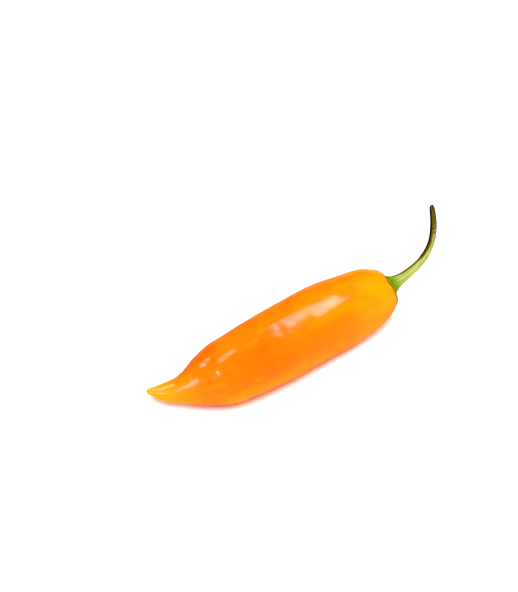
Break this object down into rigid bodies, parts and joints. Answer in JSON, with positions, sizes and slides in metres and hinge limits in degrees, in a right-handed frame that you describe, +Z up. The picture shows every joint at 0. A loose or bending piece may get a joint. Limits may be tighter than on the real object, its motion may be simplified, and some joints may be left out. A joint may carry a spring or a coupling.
{
  "type": "aji amarillo chilli pepper",
  "caption": "Ripe orange aji amarillo chilli: a long pod lying on its side, bent to a narrow beak, with a green toothed calyx and a curved stalk rising from its blunt shoulder",
  "frame": {"origin": "middle of the fruit's outline on the surface it lies on", "axes": "+X from the tip of the pod to its stalk, +Z up, +Y to the pod's inner side, towards which its tip bends"},
  "size_m": [0.1262, 0.0328, 0.0477],
  "materials": {
    "pod": "smooth waxy skin",
    "stem": "matt green stalk, drying brown at its cut end"
  },
  "bodies": {
    "root": {"pod": "pod", "stem": "stem"}
  },
  "joints": []
}
